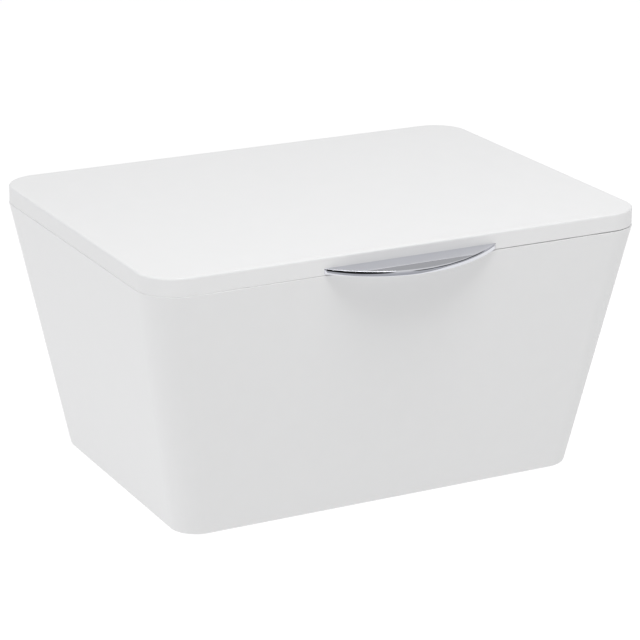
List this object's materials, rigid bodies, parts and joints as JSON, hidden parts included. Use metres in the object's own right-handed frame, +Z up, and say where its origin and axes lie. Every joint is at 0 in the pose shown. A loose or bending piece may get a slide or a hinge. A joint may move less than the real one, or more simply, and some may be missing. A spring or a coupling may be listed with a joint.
{
  "type": "storage box with hinged lid",
  "caption": "Low tapered storage box with a flat, rear-hinged lid and a crescent finger pull on the lid's front edge.",
  "frame": {"origin": "centre of the whole outline seen from above, pull included, on the surface that the box stands on", "axes": "+X to the right along the width, +Y to the rear (the hinge side), +Z up; the pull faces -Y"},
  "size_m": [0.19, 0.1502, 0.0994],
  "materials": {
    "soft_touch_white": "soft-touch matte white",
    "liner_plastic": "fine-textured white",
    "hinge_plastic": "smooth moulded white",
    "chrome": "mirror chrome plating",
    "steel": "bright zinc-plated steel",
    "elastomer": "matte pale grey elastomer"
  },
  "bodies": {
    "base": {"tub": "soft_touch_white", "foot_front_left": "elastomer", "foot_front_right": "elastomer", "foot_rear_left": "elastomer", "foot_rear_right": "elastomer", "hinge_bracket_left": "hinge_plastic", "hinge_bracket_right": "hinge_plastic", "hinge_pin_left": "steel", "hinge_pin_right": "steel", "bracket_screw_left_outer": "steel", "bracket_screw_left_inner": "steel", "bracket_screw_right_inner": "steel", "bracket_screw_right_outer": "steel"},
    "lid": {"lid_shell": "soft_touch_white", "lid_liner": "liner_plastic", "pull": "chrome", "pull_screw_left": "steel", "pull_screw_right": "steel", "liner_screw_left": "steel", "liner_screw_right": "steel", "lid_bumper_left": "elastomer", "lid_bumper_right": "elastomer"}
  },
  "joints": [
    {"name": "lid_hinge", "type": "hinge", "parent": "base", "child": "lid", "pos_m": [0, 0.0724, 0.095], "axis": [-1, 0, 0], "range_deg": [0, 102]}
  ]
}
